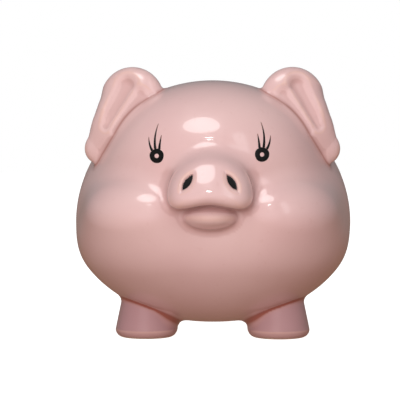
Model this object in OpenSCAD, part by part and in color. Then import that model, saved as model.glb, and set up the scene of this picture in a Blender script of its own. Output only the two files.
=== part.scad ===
// Ceramic piggy bank. The hollow body is cast; the snout, lip, ears, feet and tail are separate
// pieces of clay, joined on with slip and glazed with it; the eyes, lashes and nostrils are fired
// paint films; a soft stopper closes the hole in the belly.
// The pig faces -Y, its back is up, and it stands on z = 0.

/* [Size] */
// Widest part of the body, side to side; the whole form is scaled from it
pig_w = 141; // [120:1:170]
// Thickness of the cast wall
wall = 4.6; // [3.6:0.1:5.6]

/* [Coin slot] */
// Length of the slot, along the spine
slot_l = 37; // [32:1:40]
// Width of the slot
slot_w = 4.8; // [4.4:0.1:6]
// How far the middle of the slot lies behind the origin
slot_y = 20; // [18:1:24]

/* [Stopper] */
// Diameter of the hole in the belly
hole_d = 28; // [25:0.5:29]
// Clearance between the stopper's ribs and the hole, on each side
hole_gap = 0.06; // [0.04:0.01:0.1]
// Diameter of the stopper's flange
flange_d = 35; // [34:0.5:36]
// Thickness of the flange
flange_t = 2; // [1.6:0.1:2.4]
// Number of sealing ribs round the neck
rib_count = 3; // [2:1:4]
// Length of the grip bar under the flange
grip_l = 19; // [14:1:24]

/* [Painted features] */
// Diameter of each eye
eye_d = 7; // [6:0.1:8]
// Diameter of the bare spot in the middle of each eye
eye_spot_d = 2.1; // [1.5:0.1:3]
// Width of an eyelash at its root
lash_w = 1.15; // [0.8:0.05:1.3]
// Length of each nostril
nostril_l = 8.6; // [7:0.1:10]
// Width of each nostril
nostril_w = 2.9; // [2.4:0.1:4]
// Thickness of the fired paint
paint_t = 0.25; // [0.2:0.01:0.35]

/* [Smoothness] */
// Facets round the body
body_sides = 56; // [40:4:64]
// Facets round the ears, snout, lip and tail
part_sides = 36; // [24:2:40]

/* [Hidden] */

// One unit of the form is 1 mm on a pig 141 mm wide.
u = pig_w / 141;
pink = "#DDB2AE";
glaze_shade = "#C99A98";
black = "#141416";
stopper_grey = "#D8D4CE";

// Rounded masses of the form: [centre, radii, turn about the vertical].
// Those away from the middle are repeated on the other side.
belly_c = [0, 4, 58] * u;
belly_r_front_low = [70.5, 61, 51.5] * u;
belly_r_back_high = [70.5, 60, 67] * u;
head = [[0, -16, 86] * u, [54, 43, 42.5] * u, 0];
cheek = [[29.6, -24, 62.5] * u, [34.5, 39.1, 25.7] * u, 0];
lip = [[0, -57, 63.4] * u, [13.2, 13.5, 6.2] * u, 0];
cheeks_blend = 18 * u;
face_blend = 6.2 * u;
// The head blends more widely into the body under the chin and over the crown than at the neck.
neck_blend = 6.7 * u;
chin_more = 19 * u;
chin_z = [35, 68] * u;
crown_more = 10 * u;
crown_z = [95, 122] * u;

// Snout: a round-edged block, an arch as seen from the front, cut by a crowned face that looks up.
snout_c = [0, -72.5, 83.9] * u;
snout_tilt = 31;
snout_crown_r = [38, 63] * u;
snout_edge = 6 * u;
snout_arch_z = 74.7 * u;
snout_arch_r = [20.4, 20] * u;
snout_base_z = 75.9 * u;
snout_base_drop = 2 * u;
snout_base_w = 15 * u;
snout_corner = 5 * u;

// Ear: a flap over three rounds, flattened front to back, with a deep hollow along its outer rim
// and a shallow one along the head, which leave a soft fold between them.
ear_c = [40.2, -16.3, 120.2] * u;
ear_turn = 14;
ear_top_r = 16.6 * u;
ear_bend = [4.5, -5.4, -13.4] * u;
ear_bend_r = 13.4 * u;
ear_tip = [15.5, -5.6, -24.3] * u;
ear_tip_r = 7.8 * u;
ear_flat = 2;
ear_steep = 1.5;
ear_blend = 7 * u;
hollow = [[1.2, -10.6, 8.4] * u, [10.3, -13.6, -12.2] * u];
hollow_r = [6.5, 2.8] * u;
hollow_blend = 2.5 * u;
trough = [[-6.6, -11.9, 3.4] * u, [4.9, -15.9, -14.2] * u];
trough_r = [5.7, 3.9] * u;
trough_blend = 2 * u;

// Foot: a stub that narrows up to the body, with a round edge at its sole and a domed top
foot_x = 33.7 * u;
foot_front_y = -8 * u;
foot_rear_y = 32 * u;
foot_sole_r = 15.7 * u;
foot_top_r = 12.8 * u;
foot_side_h = 18 * u;
foot_edge = 4 * u;

joint_gap = 0.1;
film_gap = 0.04;
search_steps = 26;

hole_y = 10 * u;
belly_z = belly_c.z - belly_r_front_low.z;
seat_z = belly_z + 4 * u;
floor_z = seat_z + wall;
seat_r = flange_d / 2 + 0.5;
neck_h = wall + 4;
rib_r = hole_d / 2 - hole_gap;
groove_r = rib_r - 0.9;
cup_r = groove_r - 1.8;
grip_h = 2.2 * u;
grip_w = 3.2;

// ---- Fields: below zero inside a mass, and about the distance to its surface outside ----

function turned(v, a) = [v.x * cos(a) + v.y * sin(a), v.y * cos(a) - v.x * sin(a), v.z];
function over(a, b) = [a.x / b.x, a.y / b.y, a.z / b.z];
function times(a, b) = [a.x * b.x, a.y * b.y, a.z * b.z];
function folded(p) = [abs(p.x), p.y, p.z];
function flipped(p) = [-p.x, p.y, p.z];
function blend(a, b, k) = let (h = max(k - abs(a - b), 0) / k) min(a, b) - h * h * k / 4;
function carve(a, b, k) = -blend(-a, b, k);
function ramp(a, b, x) = let (t = min(max((x - a) / (b - a), 0), 1)) t * t * (3 - 2 * t);
function oval(q, r) =
    let (n = over(q, r), level = norm(n), slope = norm(over(n, r)))
    level * (level - 1) / max(slope, 0.0001);
function mass(p, m) = oval(turned(p - m[0], m[2]), m[1]);
function both(p, m, k) = blend(mass(p, m), mass(flipped(p), m), k);
function capsule(p, end, r0, r1) =
    let (t = min(max(p * end / (end * end), 0), 1))
    norm(p - end * t) - r0 - (r1 - r0) * t;

function belly(p) =
    let (q = p - belly_c, low = belly_r_front_low, high = belly_r_back_high)
    oval(q, [low.x, q.y < 0 ? low.y : high.y, q.z < 0 ? low.z : high.z]);
function face(p) = blend(mass(p, head), both(p, cheek, cheeks_blend), face_blend);
function head_blend(p) = neck_blend + chin_more * ramp(chin_z[1], chin_z[0], p.z)
    + crown_more * ramp(crown_z[0], crown_z[1], p.z);
skin = function (p) blend(belly(p), face(p), head_blend(p));
cavity = function (p) max(skin(p) + wall, floor_z - p.z);

function snout_form(p) =
    let (q = p - snout_c, c = cos(snout_tilt), s = sin(snout_tilt), up = q.y * s + q.z * c,
        crown = p.x * p.x / (2 * snout_crown_r.x) + up * up / (2 * snout_crown_r.y),
        front = q.z * s - q.y * c + crown + snout_edge,
        arch = oval([p.x, 0, p.z - snout_arch_z],
            [snout_arch_r.x - snout_edge, 1000, snout_arch_r.y - snout_edge]),
        base = snout_base_z - snout_base_drop * ramp(0, snout_base_w, abs(p.x)) - p.z,
        side = carve(arch, -base, snout_corner))
    norm([max(side, 0), max(front, 0)]) + min(max(side, front), 0) - snout_edge;
function lip_form(p) = mass(p, lip);
function ear_form(p) =
    let (q = turned(folded(p) - ear_c, ear_turn), flat = [1, ear_flat, 1],
        v = times(q, flat), bend = times(ear_bend, flat), tip = times(ear_tip, flat),
        flap = blend(capsule(v, bend, ear_top_r, ear_bend_r),
            capsule(v - bend, tip - bend, ear_bend_r, ear_tip_r), ear_blend) / ear_steep,
        deep = capsule(q - hollow[0], hollow[1] - hollow[0], hollow_r[0], hollow_r[1]),
        shallow = capsule(q - trough[0], trough[1] - trough[0], trough_r[0], trough_r[1]))
    carve(carve(flap, deep, hollow_blend), shallow, trough_blend);

// What is left of each form outside the pieces that it sits against
snout_part = function (p) max(snout_form(p), joint_gap - skin(p));
lip_part = function (p) max(lip_form(p), joint_gap - skin(p), joint_gap - snout_form(p));
ear_part = function (p) max(ear_form(p), joint_gap - skin(p));

// ---- Meshes ----

// Distance from c along d to the surface of field f
function reach(f, c, d, t = 0, n = search_steps) =
    n == 0 ? t : reach(f, c, d, t - 0.9 * f(c + d * t), n - 1);
function direction(a, b) = [sin(a) * cos(b), -cos(a), sin(a) * sin(b)];
function surface_point(f, c, d, start) = c + d * reach(f, c, d, start);
function globe_points(f, c, rings, sides, start) = [
    surface_point(f, c, direction(0, 0), start),
    for (i = [1:rings - 1]) for (j = [0:sides - 1])
        surface_point(f, c, direction(180 * i / rings, 360 * j / sides), start),
    surface_point(f, c, direction(180, 0), start)];

// The same from a line instead of a point, for a long form: rays fan out from its two ends
function stretched_points(f, ends, rings, sides) =
    let (way = ends[0] - ends[1], w = way / norm(way),
        front = [0, -1, 0] - w * -w.y, m = front / norm(front), n = cross(w, m)) [
    surface_point(f, ends[0], w, 0),
    for (i = [1:rings - 1]) for (j = [0:sides - 1])
        let (a = 180 * i / rings, b = 360 * j / sides,
            c = ends[0] - way * (1 - cos(a)) / 2)
        surface_point(f, c, w * cos(a) + (m * cos(b) + n * sin(b)) * sin(a), 0),
    surface_point(f, ends[1], -w, 0)];

// Triangles of a stack of rings of points, with a single point or a fan at each end. The two
// halves of a ring are divided as mirror images.
function band_faces(first, rings, sides) = [
    for (i = [0:rings - 2]) for (j = [0:sides - 1])
        let (a = first + i * sides + j, b = first + i * sides + (j + 1) % sides,
            c = a + sides, d = b + sides, left = j >= sides / 4 && j < sides * 3 / 4)
        each left ? [[a, b, c], [b, d, c]] : [[a, b, d], [a, d, c]]];
function globe_faces(rings, sides) =
    let (last = (rings - 1) * sides + 1)
    concat(
        [for (j = [0:sides - 1]) [0, 1 + (j + 1) % sides, 1 + j]],
        band_faces(1, rings - 1, sides),
        [for (j = [0:sides - 1]) [last, last - sides + j, last - sides + (j + 1) % sides]]);
function strip_faces(rings, sides) = concat(
    [for (j = [1:sides - 2]) [0, j + 1, j]],
    band_faces(0, rings, sides),
    [for (j = [1:sides - 2]) let (e = (rings - 1) * sides) [e, e + j, e + j + 1]]);
function loop_faces(rings, sides) = [
    for (i = [0:rings - 1]) for (j = [0:sides - 1])
        let (k = (i + 1) % rings, next = (j + 1) % sides,
            a = i * sides + j, b = i * sides + next, c = k * sides + j, d = k * sides + next)
        each [[a, b, c], [b, d, c]]];

module globe(f, c, rings, sides, start = 0)
    polyhedron(globe_points(f, c, rings, sides, start), globe_faces(rings, sides), 6);
module stretched_globe(f, ends, rings, sides)
    polyhedron(stretched_points(f, ends, rings, sides), globe_faces(rings, sides), 6);

// ---- Body ----

module skin_solid() globe(skin, [0, 2, 64] * u, 38, body_sides, 30 * u);
module cavity_solid() globe(cavity, [0, 3, 62] * u, 28, 40, 24 * u);

module body_shell() color(pink)
    difference() {
        skin_solid();
        cavity_solid();
        translate([0, slot_y, 80 * u]) coin_slot();
        translate([0, hole_y, 0]) cylinder(h = seat_z, r = seat_r, $fn = 96);
        translate([0, hole_y, seat_z - 1]) cylinder(h = wall + 2, d = hole_d, $fn = 96);
    }
module coin_slot() linear_extrude(height = 60 * u) {
    square([slot_w, slot_l - slot_w], center = true);
    for (end = [-1, 1]) translate([0, end * (slot_l - slot_w) / 2]) circle(d = slot_w, $fn = 32);
}

// ---- Pieces joined to the body ----

module snout() color(pink) globe(snout_part, [0, -66, 79.5] * u, 26, part_sides);
module lower_lip() color(pink) globe(lip_part, [0, -65.5, 62.8] * u, 24, part_sides);
module ear() stretched_globe(ear_part, [[40, -17, 125] * u, [57, -18, 104] * u], 28, part_sides);
module ear_left() color(pink) mirror([1, 0, 0]) ear();
module ear_right() color(pink) ear();

module foot(y) difference() {
    translate([foot_x, y, 0]) foot_form();
    skin_solid();
}
module foot_form() rotate_extrude($fn = 64) polygon([
    [0, 0],
    for (a = [-90:22.5:0])
        [foot_sole_r - foot_edge + foot_edge * cos(a), foot_edge + foot_edge * sin(a)],
    for (a = [0:10:80]) [foot_top_r * cos(a), foot_side_h + foot_top_r * sin(a)],
    [0, foot_side_h + foot_top_r]]);
module foot_front_left() color(glaze_shade) mirror([1, 0, 0]) foot(foot_front_y);
module foot_front_right() color(glaze_shade) foot(foot_front_y);
module foot_rear_left() color(glaze_shade) mirror([1, 0, 0]) foot(foot_rear_y);
module foot_rear_right() color(glaze_shade) foot(foot_rear_y);

// Tail: one tapered curl that leaves the rump square to it and turns once
tail_root = [0, 64.1, 60] * u;
tail_curl_r = 7.5 * u;
tail_reach = 11 * u;
tail_turns = 1.2;
tail_rings = 40;
tail_sides = 12;
tail_root_r = 3.9 * u;
tail_tip_r = 1.8 * u;
tail_end = 0.05;
function tail_out(t) = tail_reach * (1 - pow(1 - t, 2));
function tail_spine(t) =
    let (a = 360 * tail_turns * t * t)
    tail_root + [tail_curl_r * sin(a), tail_out(t), tail_curl_r * (1 - cos(a))];
function tail_radius(t) =
    let (end = max(t - 1 + tail_end, 0) / tail_end)
    (tail_root_r + (tail_tip_r - tail_root_r) * t) * sqrt(max(1 - end * end, 0.04));
function tail_ring(t) =
    let (way = t == 0 ? [0, 1, 0] : tail_spine(t + 0.01) - tail_spine(t - 0.01),
        along = way / norm(way),
        inward = tail_root + [0, tail_out(t), tail_curl_r] - tail_spine(t),
        side = cross(along, inward), n = side / norm(side), m = cross(n, along), r = tail_radius(t))
    [for (j = [0:tail_sides - 1])
        let (a = 360 * j / tail_sides) tail_spine(t) + r * (n * cos(a) + m * sin(a))];
module tail() color(pink) polyhedron(
    [for (i = [0:tail_rings - 1]) each tail_ring(i / (tail_rings - 1))],
    strip_faces(tail_rings, tail_sides), 6);

// ---- Painted films ----

// Point of field f's front surface in line with [x, z], raised by h
function on_front(f, x, z, h) =
    let (start = [x, -30 * u, z], d = [0, -1, 0])
    start + d * (reach(f, start, d, 0, 60) + h);
snout_skin = function (p) min(skin(p), snout_form(p));

eye_at = [25.4, 92.8] * u;
eye_sides = 28;
module eye() {
    radii = [eye_spot_d / 2, (eye_spot_d + eye_d) / 4, eye_d / 2];
    steps = [for (r = radii) [r, film_gap + paint_t], for (i = [2:-1:0]) [radii[i], film_gap]];
    points = [for (s = steps) for (j = [0:eye_sides - 1]) let (a = 360 * j / eye_sides)
        on_front(skin, -eye_at.x + s[0] * cos(a), eye_at.y + s[0] * sin(a), s[1])];
    polyhedron(points, loop_faces(len(steps), eye_sides), 6);
}
module eye_left() color(black) eye();
module eye_right() color(black) mirror([1, 0, 0]) eye();

// Lashes: root, bend and tip of each, outwards and upwards from the middle of the eye
lashes = [
    [[2.6, 2.9], [4.3, 5.4], [4.2, 9.3]],
    [[0.9, 3.8], [1.8, 9.5], [-0.6, 15.9]],
    [[-1.2, 3.8], [-1.3, 7.2], [-2.1, 10.3]]];
lash_rings = 8;
function bend(l, t) = l[0] * pow(1 - t, 2) + l[1] * 2 * t * (1 - t) + l[2] * t * t;
module lash(l) {
    points = [for (i = [0:lash_rings - 1])
        let (t = i / (lash_rings - 1), p = bend(l, t), way = bend(l, t + 0.01) - bend(l, t - 0.01),
            across = [way.y, -way.x] / norm(way) * lash_w / 2 * (1 - 0.75 * t))
        for (c = [[1, film_gap], [-1, film_gap], [-1, film_gap + paint_t], [1, film_gap + paint_t]])
            let (q = eye_at + (p + across * c[0]) * u) on_front(skin, -q.x, q.y, c[1])];
    polyhedron(points, strip_faces(lash_rings, 4), 6);
}
module lash_group() for (l = lashes) lash(l);
module lashes_left() color(black) lash_group();
module lashes_right() color(black) mirror([1, 0, 0]) lash_group();

nostril_at = [10.5, 80.6] * u;
nostril_tilt = 56;
nostril_sides = 24;
// A leaf outline: an ellipse drawn in towards its two ends
function leaf(a) =
    let (x = nostril_l / 2 * cos(a), y = nostril_w / 2 * sin(a) * pow(abs(sin(a)), 0.3),
        c = cos(nostril_tilt), s = sin(nostril_tilt))
    [x * c - y * s, x * s + y * c];
function nostril_point(size, a, h) =
    let (q = leaf(a) * size) on_front(snout_skin, q.x - nostril_at.x, nostril_at.y + q.y, h);
module nostril() {
    top = film_gap + paint_t;
    points = concat(
        [nostril_point(0, 0, top)],
        [for (ring = [[0.5, top], [1, top], [1, film_gap], [0.5, film_gap]])
            for (j = [0:nostril_sides - 1]) nostril_point(ring[0], 360 * j / nostril_sides, ring[1])],
        [nostril_point(0, 0, film_gap)]);
    polyhedron(points, globe_faces(5, nostril_sides), 6);
}
module nostril_left() color(black) nostril();
module nostril_right() color(black) mirror([1, 0, 0]) nostril();

// ---- Stopper ----

module stopper() color(stopper_grey) {
    translate([0, hole_y, seat_z]) rotate_extrude($fn = 96) polygon(stopper_profile());
    translate([-grip_l / 2, hole_y - grip_w / 2, seat_z - flange_t - grip_h])
        cube([grip_l, grip_w, grip_h + flange_t / 2]);
}
function stopper_profile() =
    let (pitch = neck_h / rib_count)
    concat(
        [[0, -flange_t], [flange_d / 2 - 0.6, -flange_t], [flange_d / 2, -flange_t + 0.6],
            [flange_d / 2, -0.6], [flange_d / 2 - 0.6, -0.02], [groove_r, -0.02]],
        [for (i = [0:rib_count - 1]) each [[groove_r, (i + 0.3) * pitch], [rib_r, (i + 0.45) * pitch],
            [rib_r, (i + 0.75) * pitch], [groove_r, (i + 0.9) * pitch]]],
        [[groove_r, neck_h], [cup_r, neck_h], [cup_r, 0.4], [0, 0.4]]);

body_shell();
snout();
lower_lip();
ear_left();
ear_right();
foot_front_left();
foot_front_right();
foot_rear_left();
foot_rear_right();
tail();
eye_left();
eye_right();
lashes_left();
lashes_right();
nostril_left();
nostril_right();
stopper();
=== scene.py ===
"""Looks of the ceramic piggy bank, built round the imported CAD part.

The form is given as fields in millimetres (below zero inside, about the distance outside), joined
with soft fillets as slip and glaze leave them, and meshed here. +Z is up and the pig faces -Y.
"""

import itertools
import math

import bpy
import numpy as np
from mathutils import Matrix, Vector


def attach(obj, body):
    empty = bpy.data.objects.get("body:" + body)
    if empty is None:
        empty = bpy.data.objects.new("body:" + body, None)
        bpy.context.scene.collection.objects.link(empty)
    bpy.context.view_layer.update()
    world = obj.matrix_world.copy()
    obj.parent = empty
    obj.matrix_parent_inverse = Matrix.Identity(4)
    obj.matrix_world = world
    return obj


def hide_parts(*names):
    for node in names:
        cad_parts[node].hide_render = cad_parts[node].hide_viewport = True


MM = 0.001
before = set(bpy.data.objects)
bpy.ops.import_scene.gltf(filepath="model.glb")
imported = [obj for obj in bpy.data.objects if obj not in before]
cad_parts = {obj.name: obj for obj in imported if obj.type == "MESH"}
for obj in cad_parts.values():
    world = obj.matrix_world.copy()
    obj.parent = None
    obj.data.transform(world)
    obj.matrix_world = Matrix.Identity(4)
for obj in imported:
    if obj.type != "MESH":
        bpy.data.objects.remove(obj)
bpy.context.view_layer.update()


# ---- Camera -------------------------------------------------------------------------------

def away(azimuth, elevation):
    """Unit vector from the object towards someone who sees it from that angle."""
    a, e = math.radians(azimuth), math.radians(elevation)
    return Vector((math.sin(a) * math.cos(e), -math.cos(a) * math.cos(e), math.sin(e)))


def look(obj, way):
    """Points a camera or light along way, upright."""
    obj.rotation_mode = "QUATERNION"
    obj.rotation_quaternion = way.to_track_quat("-Z", "Y")


def make_camera():
    data = bpy.data.cameras.new("camera")
    data.lens, data.sensor_width = 158, 36
    data.clip_start, data.clip_end = 0.05, 20
    cam = bpy.data.objects.new("camera", data)
    bpy.context.scene.collection.objects.link(cam)
    cam.location = Vector((0, 0, 0.068)) + 0.9 * away(1.2, 2.5)
    look(cam, Vector((-0.0066, 0, 0.0693)) - cam.location)
    bpy.context.scene.camera = cam


make_camera()


# ---- Fields -------------------------------------------------------------------------------

def blend(a, b, k):
    """Union of two fields with a fillet about k wide."""
    h = np.maximum(k - np.abs(a - b), 0) / k
    return np.minimum(a, b) - h * h * k / 4


def carve(a, b, k):
    """What is left of a outside b."""
    return -blend(-a, b, k)


def ramp(a, b, x):
    """0 at a to 1 at b, with soft ends."""
    t = np.clip((x - a) / (b - a), 0, 1)
    return t * t * (3 - 2 * t)


def oval(q, r):
    """Distance to an ellipse or ellipsoid of radii r, nearly."""
    n = q / r
    level = np.sqrt((n ** 2).sum(-1))
    slope = np.sqrt(((n / r) ** 2).sum(-1))
    return level * (level - 1) / np.maximum(slope, 1e-4)


def turned(v, angle):
    c, s = math.cos(math.radians(angle)), math.sin(math.radians(angle))
    x, y, z = v[..., 0], v[..., 1], v[..., 2]
    return np.stack([x * c + y * s, y * c - x * s, z], -1)


def mass(p, c, r, angle=0):
    return oval(turned(p - np.array(c, float), angle), np.array(r, float))


def both(p, c, r, angle, k):
    """A mass and its mirror image."""
    return blend(mass(p, c, r, angle), mass(p * [-1, 1, 1], c, r, angle), k)


def capsule(p, end, r0, r1):
    """A rod from 0 to end whose radius goes from r0 to r1."""
    end = np.array(end, float)
    t = np.clip((p @ end) / (end @ end), 0, 1)
    return np.linalg.norm(p - t[..., None] * end, axis=-1) - r0 - (r1 - r0) * t


def local(f, p, lo, hi, far=40.0):
    """Field f inside a box, and far outside it."""
    out = np.full(p.shape[:-1], far)
    inside = np.all((p > lo) & (p < hi), -1)
    if inside.any():
        out[inside] = f(p[inside])
    return out


# Sizes, in mm
SNOUT_TILT = 31
SNOUT_C = (-72.5, 83.9)
SNOUT_EDGE = 6.0
EAR_TURN = 14
EAR_HINGE = (40.2, -16.3, 120.2)
EAR_HOLLOWS = (  # start, end, radius at each, how soft its rim is
    ((1.2, -10.6, 8.4), (10.3, -13.6, -12.2), 6.5, 2.8, 2.5),
    ((-6.6, -11.9, 3.4), (4.9, -15.9, -14.2), 5.7, 3.9, 2.0))
FOOT_X = 33.7
FOOT_Y = (-8.0, 32.0)
SOLE_R = 15.7
SOLE_EDGE = 4.0
NOSTRIL = (10.5, 80.6)
NOSTRIL_TURN = 56
NOSTRIL_HALF = 4.5
NOSTRIL_BOW = 1.65
DISH = 0.8
DENT = 0.5
TAIL_ROOT = np.array([0, 64.1, 60.0])
WALL = 4.6
FLOOR_Z = 15.1
SEAT_Z = 10.5
SEAT_R = 18.0
HOLE_R = 14.0
HOLE_Y = 10.0
SLOT_Y = 20.0
SLOT_L = 37.0
SLOT_W = 4.8
EYE = (25.4, 92.8)
BY_HAND = {-1: (-0.6, 0.0), 1: (-0.6, 0.7)}
LASHES = [[(2.2, 2.5), (4.0, 5.2), (4.1, 9.2)],
          [(0.7, 3.2), (1.8, 9.3), (-0.6, 15.7)],
          [(-1.2, 3.1), (-1.5, 6.6), (-2.2, 10.1)]]


def belly(p):
    q = p - np.array([0, 4.0, 58])
    r = np.stack([np.full(q.shape[:-1], 70.5), np.where(q[..., 1] < 0, 61.0, 60.0),
                  np.where(q[..., 2] < 0, 51.5, 67.0)], -1)
    return oval(q, r)


def face(p):
    """Forehead and cheeks."""
    cheeks = both(p, (29.6, -24, 62.5), (34.5, 39.1, 25.7), 0, 18)
    return blend(mass(p, (0, -16, 86), (54, 43, 42.5)), cheeks, 6.2)


def skin(p):
    """The body and head, as cast."""
    z = p[..., 2]
    return blend(belly(p), face(p), 6.7 + 19 * ramp(68, 35, z) + 10 * ramp(95, 122, z))


def snout(p):
    """A round-edged block: an arch seen from the front, cut by a face that looks up."""
    x, y, z = p[..., 0], p[..., 1], p[..., 2]
    c, s = math.cos(math.radians(SNOUT_TILT)), math.sin(math.radians(SNOUT_TILT))
    up = (y - SNOUT_C[0]) * s + (z - SNOUT_C[1]) * c
    out = -(y - SNOUT_C[0]) * c + (z - SNOUT_C[1]) * s + x * x / 76 + up * up / 126
    r = SNOUT_EDGE
    arch = oval(np.stack([x, z - 74.7], -1), np.array([20.4 - r, 20.0 - r]))
    base = 75.9 - 2 * ramp(0, 15, np.abs(x)) - z
    flat = carve(arch, -base, 5)
    front = out + r
    return np.hypot(np.maximum(flat, 0), np.maximum(front, 0)) + np.minimum(np.maximum(flat, front), 0) - r


def lip(p):
    return mass(p, (0, -57, 63.4), (13.2, 13.5, 6.2))


def ear(p):
    """A flap over three rounds, with a deep hollow along its rim and a shallow one along the head."""
    q = turned(p * np.where(p[..., :1] < 0, [-1.0, 1, 1], [1.0, 1, 1]) - np.array(EAR_HINGE), EAR_TURN)
    bend, tip = np.array([4.5, -10.8, -13.4]), np.array([15.5, -11.2, -24.3])
    flat = q * [1, 2, 1]
    flap = blend(capsule(flat, bend, 16.6, 13.4), capsule(flat - bend, tip - bend, 13.4, 7.8), 7) / 1.5
    for start, end, r0, r1, k in EAR_HOLLOWS:
        flap = carve(flap, capsule(q - start, np.subtract(end, start), r0, r1), k)
    return flap


def foot(p):
    """The four stubs: round, a little wider towards the body, with a rounded edge at the sole."""
    ax = np.abs(p[..., 0])
    out = np.full(p.shape[:-1], 40.0)
    z = p[..., 2]
    for y in FOOT_Y:
        side = np.hypot(ax - FOOT_X, p[..., 1] - y) - SOLE_R + 2.9 * np.clip((z - SOLE_EDGE) / 14, 0, 1)
        corner = np.hypot(np.maximum(side + SOLE_EDGE, 0), np.maximum(SOLE_EDGE - z, 0)) - SOLE_EDGE
        stub = np.where((side > -SOLE_EDGE) & (z < SOLE_EDGE), corner, np.maximum(side, -z))
        out = np.minimum(out, np.maximum(stub, z - 30))
    return out


def tail_spine(t):
    a = 2 * np.pi * 1.2 * t * t
    return TAIL_ROOT + np.stack([7.5 * np.sin(a), 11 * (1 - (1 - t) ** 2), 7.5 * (1 - np.cos(a))], -1)


def tail(p):
    """A curl of short tapered rods."""
    t = np.linspace(0, 0.975, 44)
    pts = tail_spine(t)
    pts[0] -= [0, 3, 0]
    out = np.full(p.shape[:-1], 40.0)
    for i in range(len(t) - 1):
        a, d = pts[i], pts[i + 1] - pts[i]
        s = np.clip(((p - a) @ d) / (d @ d), 0, 1)
        r = 3.9 - 2.1 * (t[i] + s * (t[i + 1] - t[i]))
        out = np.minimum(out, np.linalg.norm(p - a - s[..., None] * d, axis=-1) - r)
    return out


ARC_R = (NOSTRIL_HALF ** 2 + NOSTRIL_BOW ** 2) / (2 * NOSTRIL_BOW)  # radius of the outline's two arcs


def leaf(x, z):
    """Flat distance to the outline of the nostrils, seen from the front."""
    c, s = math.cos(math.radians(NOSTRIL_TURN)), math.sin(math.radians(NOSTRIL_TURN))
    u, v = np.abs(x) - NOSTRIL[0], z - NOSTRIL[1]
    along, across = -u * c + v * s, u * s + v * c
    return np.hypot(along, np.abs(across) + ARC_R - NOSTRIL_BOW) - ARC_R


def chamber(p):
    return carve(skin(p) + WALL, p[..., 2] - FLOOR_Z, 3)


def slot_cut(p):
    y = np.maximum(np.abs(p[..., 1] - SLOT_Y) - (SLOT_L - SLOT_W) / 2, 0)
    return np.maximum(np.hypot(p[..., 0], y) - SLOT_W / 2, 90 - p[..., 2])


def hole_cut(p):
    r = np.hypot(p[..., 0], p[..., 1] - HOLE_Y)
    z = p[..., 2]
    return np.minimum(np.maximum(r - HOLE_R, z - 25), np.maximum(r - SEAT_R, z - SEAT_Z))


FOOT_BOX = (-60, -34, -5), (60, 60, 40)


def outside(p):
    """Everything glazed, without its openings, and how much slip fills the creases at the feet and ears (0 to
    1), which masks the painted shade put in them.
    """
    body = skin(p)
    f = body
    crease = np.zeros(p.shape[:-1])
    for form, lo, hi, k in (
            (snout, (-34, -82, 56), (34, -36, 108), None),
            (lip, (-24, -80, 50), (24, -40, 80), 3.0),
            (ear, (-75, -45, 80), (75, 12, 142), 2.4),
            (foot, *FOOT_BOX, None),
            (tail, (-16, 56, 48), (16, 82, 84), 3.0)):
        other = local(form, p, lo, hi)
        if form is snout:
            k = 4.2 + 3 * ramp(82, 94, p[..., 2])
        if form is foot:
            k = 2.4 + 5 * ramp(30, 20, np.abs(p[..., 0]))
        joined = blend(f, other, k)
        # Crease depth, full at the feet and 0.45 at the ears, masks the painted crease shade.
        if form in (foot, ear):
            depth = (np.minimum(f, other) - joined) * 4 / k
            crease = np.maximum(crease, depth * (1.0 if form is foot else 0.45))
        f = joined
    return f, crease


def glazed(p):
    """The outside with the nostrils' dents."""
    f, _ = outside(p)
    d = local(lambda q: leaf(q[:, 0], q[:, 2]), p, (-20, -82, 70), (20, -55, 94))
    f = f + DISH * ramp(2.0, -0.8, d)
    return carve(f, np.maximum(d, -(f + DENT)), 0.6)


def casting(p):
    """The hollow body, with its slot and belly hole."""
    f = carve(glazed(p), local(chamber, p, (-70, -62, 8), (70, 64, 128)), 1.2)
    f = carve(f, local(slot_cut, p, (-9, -6, 88), (9, 46, 140)), 1.8)
    return carve(f, local(hole_cut, p, (-22, -14, -2), (22, 34, 20)), 0.8)


# Joined pieces: CAD node, form, box and mesh step
JOINED = [
    ("snout", snout, (-27, -80, 60), (27, -46, 102), 0.5),
    ("lower_lip", lip, (-19, -74, 51), (19, -48, 75), 0.5),
    ("ear_left", ear, (-70, -36, 84), (-16, 2, 139), 0.75),
    ("ear_right", ear, (16, -36, 84), (70, 2, 139), 0.75),
    ("foot_front_left", foot, (-54, -30, -1), (-12, 12, 34), 0.9),
    ("foot_front_right", foot, (12, -30, -1), (54, 12, 34), 0.9),
    ("foot_rear_left", foot, (-54, 12, -1), (-12, 54, 34), 0.9),
    ("foot_rear_right", foot, (12, 12, -1), (54, 54, 34), 0.9),
    ("tail", tail, (-15, 56, 48), (15, 80, 84), 0.5),
]
SOCKET = 2.2


def share_of(piece, p):
    """Below zero where the joined piece is: nearer to its form than to any other, and only a
    little way into the body. The two surfaces that it parts meet it squarely."""
    name, form, lo, hi, _ = piece

    def inside(q):
        body = skin(q)
        rest = body
        if name == "lower_lip":
            rest = np.minimum(body, snout(q))
        elif name == "snout":
            rest = np.minimum(body, lip(q))
        return np.maximum((form(q) - rest) / 2, -(body + SOCKET))
    return local(inside, p, lo, hi)


def rest_of(p):
    """Above zero where any joined piece is."""
    out = np.full(p.shape[:-1], -40.0)
    for piece in JOINED:
        out = np.maximum(out, -share_of(piece, p))
    return out


# ---- Meshing ------------------------------------------------------------------------------

def grid_field(f, lo, hi, step):
    axes = [np.arange(a, b + step, step) for a, b in zip(lo, hi)]
    values = np.empty([len(a) for a in axes], np.float32)
    for i, x in enumerate(axes[0]):
        plane = np.stack(np.meshgrid([x], axes[1], axes[2], indexing="ij"), -1)
        values[i] = f(plane.reshape(-1, 3)).reshape(values.shape[1:])
    return values


def corners_of(shape):
    return [tuple(slice(a, a + n) for a, n in zip(o, shape)) for o in itertools.product((0, 1), repeat=3)]


def crossed(values):
    """Cells of the grid that the zero surface passes through."""
    shape = np.array(values.shape) - 1
    inside = values < 0
    count = sum(inside[c].astype(np.uint8) for c in corners_of(shape))
    return (count > 0) & (count < 8)


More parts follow.
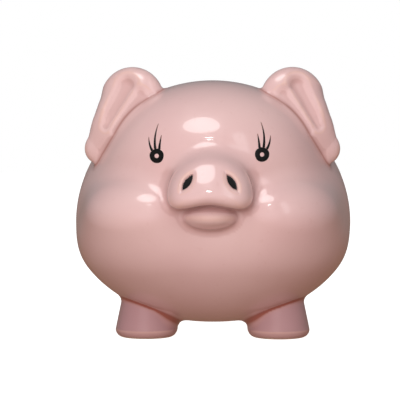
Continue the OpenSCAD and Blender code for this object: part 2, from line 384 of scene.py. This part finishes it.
def surface_net(values, lo, step):
    """Points, quads and cells of the zero surface, one point to each cell that it crosses."""
    inside = values < 0
    mixed = crossed(values)
    cells = np.argwhere(mixed)
    index = np.full(mixed.shape, -1)
    index[tuple(cells.T)] = np.arange(len(cells))
    total, hits = np.zeros((len(cells), 3)), np.zeros(len(cells))
    for axis in range(3):
        along = np.eye(3, dtype=int)[axis]
        for o in itertools.product((0, 1), repeat=3):
            if o[axis]:
                continue
            start = cells + o
            a, b = values[tuple(start.T)], values[tuple((start + along).T)]
            cut = (a < 0) != (b < 0)
            t = np.where(cut, a / np.where(cut, a - b, 1), 0)
            total += cut[:, None] * (start + t[:, None] * along)
            hits += cut
    points = np.array(lo) + step * total / hits[:, None]
    quads = []
    for axis in range(3):
        u, v = (axis + 1) % 3, (axis + 2) % 3
        start = [slice(1, -1)] * 3
        start[axis] = slice(0, -1)
        end = list(start)
        end[axis] = slice(1, None)
        a, b = inside[tuple(start)], inside[tuple(end)]
        for way in (True, False):
            edges = np.argwhere((a != b) & (a == way)) + [0 if i == axis else 1 for i in range(3)]
            ring = []
            for du, dv in ((-1, -1), (0, -1), (0, 0), (-1, 0)):
                cell = edges.copy()
                cell[:, u] += du
                cell[:, v] += dv
                ring.append(index[tuple(cell.T)])
            quads.append(np.stack(ring if way else ring[::-1], 1))
    return points, np.concatenate(quads), cells


def slopes(f, p, h=0.05):
    """The field's slope at each point."""
    return np.stack([f(p + np.eye(3)[i] * h) - f(p - np.eye(3)[i] * h) for i in range(3)], -1) / (2 * h)


def normals_of(f, p):
    g = slopes(f, p)
    return g / np.maximum(np.linalg.norm(g, axis=1, keepdims=True), 1e-9)


def nudged(p, move, reach):
    """Points moved by no more than reach."""
    far = np.linalg.norm(move, axis=1, keepdims=True)
    return p - move * np.minimum(1, reach / np.maximum(far, 1e-9))


def settle(f, p, steps, reach=0.8):
    """Moves points onto the zero surface of f, and returns them with the surface's normals."""
    for _ in range(steps):
        g = slopes(f, p)
        p = nudged(p, f(p)[:, None] * g / np.maximum((g ** 2).sum(-1, keepdims=True), 0.05), reach)
    return p, normals_of(f, p)


def settle_edge(f, cut, p, steps, reach=0.8):
    """Moves points onto the line where the zero surfaces of f and cut meet; the normals are f's."""
    for _ in range(steps):
        g, h = slopes(f, p), slopes(cut, p)
        a, b, c = (g * g).sum(-1), (g * h).sum(-1), (h * h).sum(-1)
        det = np.maximum(a * c - b * b, 0.02)
        v, w = f(p), cut(p)
        p = nudged(p, ((c * v - b * w) / det)[:, None] * g + ((a * w - b * v) / det)[:, None] * h, reach)
    return p, normals_of(f, p)


def evened(p, quads, normals, share=0.5):
    """Points slid along the surface towards the middle of their neighbours."""
    total, count = np.zeros_like(p), np.zeros(len(p))
    for i in range(4):
        a, b = quads[:, i], quads[:, (i + 1) % 4]
        for s, e in ((a, b), (b, a)):
            for axis in range(3):
                total[:, axis] += np.bincount(s, p[e, axis], len(p))
            count += np.bincount(s, minlength=len(p))
    move = total / count[:, None] - p
    move -= (move * normals).sum(-1, keepdims=True) * normals
    return p + share * move


ROUNDS = 3


def solid(f, cut, lo, hi, step):
    """Points, quads and normals of the closed solid where f is below zero and so is cut.

    Where the two surfaces meet, the points lie on the line itself, so that neighbouring solids
    cut by the same surface meet without a gap or a groove.
    """
    step = step
    values = grid_field(f, lo, hi, step)
    if cut is None:
        p, quads, _ = surface_net(values, lo, step)
        edge = wall = np.zeros(len(p), bool)
    else:
        walls = grid_field(cut, lo, hi, step)
        edge_cells = crossed(values) & crossed(walls)
        p, quads, cells = surface_net(np.maximum(values, walls), lo, step)
        edge = edge_cells[tuple(cells.T)]
        wall = ~edge & (cut(p) > f(p))
    n = np.zeros_like(p)

    def place(p, steps):
        for which, move in ((~edge & ~wall, lambda q: settle(f, q, steps)),
                            (wall, lambda q: settle(cut, q, steps)),
                            (edge, lambda q: settle_edge(f, cut, q, steps))):
            if which.any():
                p[which], n[which] = move(p[which])
        return p
    p = place(p, 2)
    for _ in range(ROUNDS):
        p = place(evened(p, quads, n), 1)
    return place(p, 2), quads, n


def make_object(name, points, faces, normals=None):
    """A smooth-shaded mesh object from points in mm."""
    mesh = bpy.data.meshes.new(name)
    faces = faces.tolist() if isinstance(faces, np.ndarray) else faces
    mesh.from_pydata((points * MM).tolist(), [], faces)
    mesh.validate()
    mesh.shade_smooth()
    if normals is not None and len(mesh.vertices) == len(points):
        mesh.normals_split_custom_set_from_vertices(normals.tolist())
    obj = bpy.data.objects.new(name, mesh)
    bpy.context.scene.collection.objects.link(obj)
    return obj


def add_values(obj, name, values):
    attribute = obj.data.attributes.new(name, "FLOAT", "POINT")
    attribute.data.foreach_set("value", np.asarray(values, np.float32))


# ---- Materials ----------------------------------------------------------------------------

class Nodes:
    """A material's node tree, with short ways to add and join nodes."""

    def __init__(self, name):
        self.material = bpy.data.materials.new(name)
        self.material.use_nodes = True
        self.tree = self.material.node_tree
        self.tree.nodes.clear()
        self.out = self.tree.nodes.new("ShaderNodeOutputMaterial")

    def add(self, kind, inputs=None, **settings):
        node = self.tree.nodes.new("ShaderNode" + kind)
        for key, value in settings.items():
            setattr(node, key, value)
        for key, value in (inputs or {}).items():
            if isinstance(value, bpy.types.NodeSocket):
                self.tree.links.new(value, node.inputs[key])
            else:
                node.inputs[key].default_value = value
        return node

    def noise(self, scale, detail):
        where = self.add("TexCoord").outputs["Object"]
        return self.add("TexNoise", {"Vector": where, "Scale": scale, "Detail": detail,
                                     "Roughness": 0.5}).outputs["Fac"]

    def between(self, value, low, high, out_low=0.0, out_high=1.0):
        return self.add("MapRange", {"Value": value, "From Min": low, "From Max": high, "To Min": out_low,
                                     "To Max": out_high}, interpolation_type="SMOOTHSTEP").outputs["Result"]

    def maths(self, kind, a, b):
        return self.add("Math", {0: a, 1: b}, operation=kind).outputs[0]

    def mix(self, share, a, b):
        return self.add("Mix", {0: share, 6: a, 7: b}, data_type="RGBA").outputs[2]

    def value(self, name):
        return self.add("Attribute", attribute_name=name).outputs["Fac"]

    def finish(self, shader):
        self.tree.links.new(shader.outputs[0], self.out.inputs["Surface"])
        return self.material


def rgb(r, g, b):
    """A colour as read on screen, 0 to 255, for a shader."""
    def line(c):
        c /= 255
        return c / 12.92 if c <= 0.04045 else ((c + 0.055) / 1.055) ** 2.4
    return (line(r), line(g), line(b), 1.0)


def glaze_material():
    """Pink glaze: clear and glossy, thinner and browner over edges, with painted shade in its creases and
    hollows and on its mauve feet.
    """
    m = Nodes("pink_glaze")
    cloud = m.noise(28, 3)
    base = m.mix(m.between(cloud, 0.3, 0.7), rgb(222, 184, 182), rgb(226, 190, 187))
    speck = m.between(m.noise(450, 0), 0.74, 0.82, 0, 0.08)
    base = m.mix(speck, base, rgb(196, 140, 124))
    # Feet tinted mauve and darker: partly a tint of the glaze there, partly painted shade from the belly's
    # overhang.
    base = m.mix(m.between(m.value("low"), 0, 1, 0, 0.9), base, rgb(174, 128, 132))
    # Painted shade: darker pink in concave hollows, such as the ears' hollows and the grooves round the snout
    # and lip.
    base = m.mix(m.between(m.value("hollow"), 0, 1, 0, 0.4), base, rgb(190, 142, 138))
    thin = m.between(m.value("edge"), 0.1, 1.0, 0, 0.45)
    base = m.mix(thin, base, rgb(226, 184, 168))
    # Painted shade: a dark orange-brown line where the feet and, more faintly, the ears meet the body.
    crease_shade = m.between(m.value("crease"), 0.03, 0.7, 0, 0.9)
    base = m.mix(crease_shade, base, rgb(148, 72, 56))
    ripple = m.noise(60, 2)
    peel = m.noise(300, 0)
    height = m.maths("ADD", ripple, m.maths("MULTIPLY", peel, 0.12))
    bump = m.add("Bump", {"Strength": 0.03, "Distance": 0.0004, "Height": height}).outputs[0]
    rough = m.between(m.noise(60, 1), 0.3, 0.7, 0.29, 0.33)
    shader = m.add("BsdfPrincipled", {
        "Base Color": base, "Roughness": rough, "Normal": bump, "IOR": 1.5,
        "Coat Weight": 1.0, "Coat Roughness": 0.018, "Coat IOR": 1.52, "Coat Normal": bump})
    return m.finish(shader)


def bisque_material():
    """Bare fired clay under the feet and inside."""
    m = Nodes("bare_clay")
    base = m.mix(m.between(m.noise(300, 4), 0.3, 0.7), rgb(214, 192, 172), rgb(228, 210, 194))
    bump = m.add("Bump", {"Strength": 0.3, "Distance": 0.0003, "Height": m.noise(1500, 3)}).outputs[0]
    shader = m.add("BsdfPrincipled", {"Base Color": base, "Roughness": 0.8, "Normal": bump})
    return m.finish(shader)


def paint_material():
    """Black overglaze paint, thin at the tips, where it goes brown."""
    m = Nodes("black_paint")
    base = m.mix(m.between(m.noise(700, 2), 0.35, 0.7), rgb(7, 7, 7), rgb(14, 12, 12))
    base = m.mix(m.value("fade"), base, rgb(176, 128, 116))
    bump = m.add("Bump", {"Strength": 0.1, "Distance": 0.0005, "Height": m.noise(500, 2)}).outputs[0]
    shader = m.add("BsdfPrincipled", {
        "Base Color": base, "Roughness": 0.3, "Normal": bump, "Specular IOR Level": 0.25,
        "Coat Weight": 0.6, "Coat Roughness": 0.03, "Coat IOR": 1.4})
    return m.finish(shader)


def vinyl_material():
    """Soft off-white vinyl with a faint moulded grain."""
    m = Nodes("soft_vinyl")
    base = m.mix(m.between(m.noise(90, 3), 0.3, 0.7), rgb(214, 208, 198), rgb(226, 221, 212))
    bump = m.add("Bump", {"Strength": 0.15, "Distance": 0.0002, "Height": m.noise(2600, 2)}).outputs[0]
    shader = m.add("BsdfPrincipled", {
        "Base Color": base, "Roughness": 0.45, "Normal": bump, "Subsurface Weight": 0.25,
        "Subsurface Radius": (1.0, 0.8, 0.6), "Subsurface Scale": 0.0015})
    return m.finish(shader)


# ---- Pieces -------------------------------------------------------------------------------

def turning(f, p, h=0.8):
    """How sharply the surface turns at each point, above zero outwards."""
    bend = sum(f(p + np.eye(3)[i] * h) + f(p - np.eye(3)[i] * h) for i in range(3)) - 6 * f(p)
    return bend / h ** 2


def make_glazed(name, node, f, cut, lo, hi, step, materials):
    """A glazed piece, with its second material where the clay is bare."""
    p, quads, n = solid(f, cut, lo, hi, step)
    obj = make_object(name, p, quads, n)
    # crease: mask of the painted shade in the creases at the feet and ears.
    add_values(obj, "crease", outside(p)[1])
    add_values(obj, "edge", ramp(0.12, 0.5, turning(glazed, p)))
    # hollow: how concave the surface is, the mask of the painted shade in hollows.
    add_values(obj, "hollow", ramp(0.0, 0.16, -turning(glazed, p, 2.0)))
    # low: nearness to the feet, the mask of their mauve tint and painted shade.
    add_values(obj, "low", ramp(1.5, -0.5, local(foot, p, *FOOT_BOX)))
    for material in materials:
        obj.data.materials.append(material)
    centre = p[quads].mean(1)
    bare = (centre[:, 2] < 0.8) | (chamber(centre) < 0.4)
    obj.data.polygons.foreach_set("material_index", bare.astype(np.int32))
    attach(obj, "pig")
    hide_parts(node)


def make_casting(materials):
    make_glazed("glazed_body", "body_shell", casting, rest_of,
                (-74.1, -66.3, 4.3), (74.2, 69.1, 134.2), 1.15, materials)
    for piece in JOINED:
        name, _, lo, hi, step = piece
        make_glazed("glazed_" + name, name, glazed, lambda q: share_of(piece, q),
                    np.array(lo) - 1, np.array(hi) + 1, step, materials)


def on_front(x, z):
    """Points of the glazed surface as seen along +Y at x, z, with their normals."""
    p = np.stack([x, np.full_like(x, -81.0), z], -1)
    for _ in range(50):
        p[:, 1] += 0.8 * np.maximum(glazed(p), -1)
    return settle(glazed, p, 1, 0.05)


FILM_DEPTH = 0.12


def wound(faces, flip):
    return [tuple(reversed(f)) for f in faces] if flip else faces


def film(name, xz, faces, rim, fade, material, proud):
    """A thin fired film on the front: points x, z and faces of its top; rim marks its outer points."""
    p, n = on_front(xz[:, 0], xz[:, 1])
    top = p + n * np.where(rim, 0.0, proud)[:, None]
    low = p - n * FILM_DEPTH
    count = len(p)
    edges = {}
    for f in faces:
        for a, b in zip(f, f[1:] + f[:1]):
            if (b, a) in edges:
                del edges[b, a]
            else:
                edges[a, b] = True
    walls = [(b, a, a + count, b + count) for a, b in edges]
    bottom = [tuple(i + count for i in f) for f in wound(faces, True)]
    obj = make_object("painted_" + name, np.concatenate([top, low]), faces + bottom + walls)
    add_values(obj, "fade", np.concatenate([fade, fade]))
    obj.data.materials.append(material)
    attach(obj, "pig")
    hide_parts(name)


ROUND = 64  # points round an eye or nostril


def rings_faces(rings):
    out = []
    for i in range(rings - 1):
        for j in range(ROUND):
            a, b = i * ROUND + j, i * ROUND + (j + 1) % ROUND
            out.append((a, b, b + ROUND, a + ROUND))
    return out


def make_eye(name, side, paint):
    """A painted ring, not quite round, with the bare glaze as its glint."""
    radii = np.array([1.05, 1.2, 1.6, 2.2, 2.8, 3.3, 3.5])
    a = np.linspace(0, 2 * np.pi, ROUND, endpoint=False)
    r = np.repeat(radii, ROUND)
    wobble = np.tile(1 + 0.012 * np.sin(3 * a + side) + 0.01 * np.sin(5 * a), len(radii))
    a = np.tile(a, len(radii))
    x = side * EYE[0] + BY_HAND[side][0] + r * np.cos(a) * wobble
    z = EYE[1] + BY_HAND[side][1] + r * np.sin(a) * wobble
    rim = (r < 1.1) | (r > 3.45)
    film(name, np.stack([x, z], -1), wound(rings_faces(len(radii)), True), rim, np.zeros(len(x)), paint, 0.1)


def lash_strip(l, side, first):
    """One stroke of the brush along a curve of three points, thinner and paler at its end."""
    steps, across = 22, 5
    l = np.array(l)
    t = np.linspace(0, 1, steps)[:, None]
    mid = l[0] * (1 - t) ** 2 + l[1] * 2 * t * (1 - t) + l[2] * t ** 2
    way = np.gradient(mid, axis=0)
    way /= np.linalg.norm(way, axis=1, keepdims=True)
    n = np.stack([way[:, 1], -way[:, 0]], -1)
    round_start = np.sqrt(np.clip((t + 0.02) / 0.06, 0, 1))
    round_end = np.sqrt(np.clip((1.01 - t) / 0.06, 0.05, 1))
    half = 0.68 * (1 - 0.72 * t) * round_start * round_end
    s = np.linspace(-1, 1, across)
    q = mid[:, None, :] + (half * s[None, :])[..., None] * n[:, None, :]
    xz = q.reshape(-1, 2) * [side, 1] + [side * EYE[0], EYE[1]] + np.array(BY_HAND[side])
    rim = np.tile(np.abs(s) > 0.99, (steps, 1))
    rim[0] = rim[-1] = True
    fade = np.repeat(np.clip((t[:, 0] - 0.62) / 0.38, 0, 1) ** 1.5 * 0.85, across)
    corners = [first + i * across + j for i in range(steps - 1) for j in range(across - 1)]
    faces = wound([(a, a + 1, a + 1 + across, a + across) for a in corners], side > 0)
    return xz, faces, rim.ravel(), fade


def make_lashes(name, side, paint):
    """The three strokes over an eye."""
    parts, first = [], 0
    for l in LASHES:
        parts.append(lash_strip(l, side, first))
        first += len(parts[-1][0])
    xz, rim, fade = (np.concatenate([q[i] for q in parts]) for i in (0, 2, 3))
    faces = [f for q in parts for f in q[1]]
    film(name, xz, faces, rim, fade, paint, 0.09)


def make_nostril(name, side, paint):
    """A painted leaf of nine rings and a middle point, in the nostril's dent."""
    rings = 9
    a = np.linspace(0, 2 * np.pi, ROUND, endpoint=False)
    c, s = math.cos(math.radians(NOSTRIL_TURN)), math.sin(math.radians(NOSTRIL_TURN))
    along = NOSTRIL_HALF * np.cos(a)
    arc = np.sqrt(np.maximum(ARC_R * ARC_R - along ** 2, 0)) - ARC_R + NOSTRIL_BOW
    across = np.sign(np.sin(a)) * arc
    size = np.linspace(0.04, 1.0, rings)
    u = np.concatenate([k * along for k in size])
    v = np.concatenate([k * across for k in size])
    x = side * (NOSTRIL[0] - u * c + v * s)
    z = NOSTRIL[1] + u * s + v * c
    xz = np.concatenate([np.stack([x, z], -1), [[side * NOSTRIL[0], NOSTRIL[1]]]])
    centre = rings * ROUND
    faces = rings_faces(rings) + [(centre, (j + 1) % ROUND, j) for j in range(ROUND)]
    rim = np.zeros(len(xz), bool)
    rim[centre - ROUND:centre] = True
    film(name, xz, wound(faces, side < 0), rim, np.zeros(len(xz)), paint, 0.08)


def ring_profile(r, z, corners):
    """Flat signed distance to a polygon of (r, z) corners."""
    d = np.full(r.shape, 1e9)
    inside = np.zeros(r.shape, bool)
    for (x0, z0), (x1, z1) in zip(corners, corners[1:] + corners[:1]):
        dx, dz = x1 - x0, z1 - z0
        t = np.clip(((r - x0) * dx + (z - z0) * dz) / (dx * dx + dz * dz), 0, 1)
        d = np.minimum(d, np.hypot(r - x0 - t * dx, z - z0 - t * dz))
        crosses = ((z0 > z) != (z1 > z))
        if dz:
            inside ^= crosses & (r < x0 + (z - z0) / dz * dx)
    return np.where(inside, -d, d)


def stopper_field(p):
    """A flange, a hollow neck with three ribs, and a grip bar across the underside."""
    r = np.hypot(p[..., 0], p[..., 1] - HOLE_Y)
    z = p[..., 2] - SEAT_Z
    soft, neck_soft, bar_soft = 0.35, 0.2, 0.9
    rim, low, high = 17.5 - soft, -2 + soft, -0.05 - soft
    flange = ring_profile(r, z, [(-1, low), (rim, low), (rim, high), (-1, high)]) - soft
    neck_r = 12.95 - neck_soft
    neck = ring_profile(r, z, [(11.3, -1), (neck_r, -1), (neck_r, 8.5), (11.4, 8.5)]) - neck_soft
    f = blend(flange, neck, 0.8)
    for i in range(3):
        at = (i + 0.6) * 8.6 / 3
        rib = np.hypot((r - 12.9) / 1.03, (z - at) / 0.75) - 1
        f = blend(f, rib * 0.75, 0.5)
    floor = ring_profile(r, z, [(-1, -1.2), (12, -1.2), (12, 0.3), (-1, 0.3)]) - 0.1
    f = blend(f, floor, 0.8)
    q = np.abs(np.stack([p[..., 0], p[..., 1] - HOLE_Y, z + 3.0], -1))
    q -= [9.5 - bar_soft, 1.6 - bar_soft, 1.2 - bar_soft]
    bar = np.linalg.norm(np.maximum(q, 0), axis=-1) + np.minimum(q.max(-1), 0) - bar_soft
    f = blend(f, bar, 0.9)
    return np.maximum(f, -4.19 - z)


def make_stopper(vinyl):
    p, quads, n = solid(stopper_field, None, (-18.9, -8.9, 4.1), (18.9, 28.9, 19.6), 0.45)
    obj = make_object("belly_stopper", p, quads, n)
    obj.data.materials.append(vinyl)
    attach(obj, "stopper")
    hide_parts("stopper")


# ---- Studio -------------------------------------------------------------------------------

def make_floor():
    bpy.ops.mesh.primitive_plane_add(size=6, location=(0, 0, 0))
    floor = bpy.context.object
    floor.name = "floor"
    m = Nodes("studio_floor")
    tone = m.mix(m.between(m.noise(3, 2), 0.3, 0.7), rgb(238, 237, 235), rgb(242, 241, 239))
    floor.data.materials.append(m.finish(m.add("BsdfPrincipled", {
        "Base Color": tone, "Roughness": 0.7, "Emission Color": (1, 1, 1, 1), "Emission Strength": 1.0})))
    floor.visible_glossy = floor.visible_diffuse = False


def softbox(name, azimuth, elevation, distance, size, power, colour=(1, 1, 1), glossy=True, shape="ELLIPSE"):
    """An area light aimed at the face; unless glossy, the glaze doesn't mirror it."""
    data = bpy.data.lights.new(name, "AREA")
    data.shape = shape
    data.size, data.size_y = size
    data.energy, data.color = power, colour
    light = bpy.data.objects.new(name, data)
    bpy.context.scene.collection.objects.link(light)
    light.location = Vector((0, -0.02, 0.08)) + distance * away(azimuth, elevation)
    look(light, -away(azimuth, elevation))
    light.visible_glossy = glossy


def make_world():
    """White behind the object; the glaze sees a grey room with a warm floor."""
    bpy.context.scene.view_settings.view_transform = "Standard"
    world = bpy.data.worlds.new("studio")
    bpy.context.scene.world = world
    world.use_nodes = True
    tree = world.node_tree
    tree.nodes.clear()
    out, mix, path, seen, room, where, split, scaled, tones = (tree.nodes.new("ShaderNode" + kind) for kind in (
        "OutputWorld", "MixShader", "LightPath", "Background", "Background", "TexCoord", "SeparateXYZ", "Math",
        "ValToRGB"))
    seen.inputs[0].default_value = (1, 1, 1, 1)
    seen.inputs[1].default_value = room.inputs[1].default_value = 1.0
    scaled.operation = "MULTIPLY_ADD"
    scaled.inputs[1].default_value = scaled.inputs[2].default_value = 0.5
    low, high = tones.color_ramp.elements
    low.position, low.color = 0.40, (0.275, 0.148, 0.103, 1)
    high.position, high.color = 0.62, (0.24, 0.235, 0.24, 1)
    for source, target in (
            (where.outputs["Generated"], split.inputs[0]), (split.outputs["Z"], scaled.inputs[0]),
            (scaled.outputs[0], tones.inputs[0]), (tones.outputs[0], room.inputs[0]),
            (path.outputs["Is Camera Ray"], mix.inputs[0]), (room.outputs[0], mix.inputs[1]),
            (seen.outputs[0], mix.inputs[2]), (mix.outputs[0], out.inputs[0])):
        tree.links.new(source, target)


def build():
    glaze, clay, paint, vinyl = glaze_material(), bisque_material(), paint_material(), vinyl_material()
    make_casting([glaze, clay])
    for name, side in (("left", -1), ("right", 1)):
        make_eye("eye_" + name, side, paint)
        make_lashes("lashes_" + name, side, paint)
        make_nostril("nostril_" + name, side, paint)
    make_stopper(vinyl)
    make_floor()
    softbox("key", -16, 60, 0.75, (0.37, 0.305), 1.15)
    softbox("front_fill", -8, 9, 1.4, (1.0, 0.8), 15, glossy=False)
    softbox("window", 30, 33, 1.2, (0.22, 0.7), 0.7, (0.95, 0.98, 1.0), shape="RECTANGLE")
    softbox("lamp_high", -3, 43, 1.2, (0.12, 0.02), 0.3)
    softbox("lamp_low", -3, 34, 1.2, (0.04, 0.028), 0.3)
    make_world()


build()
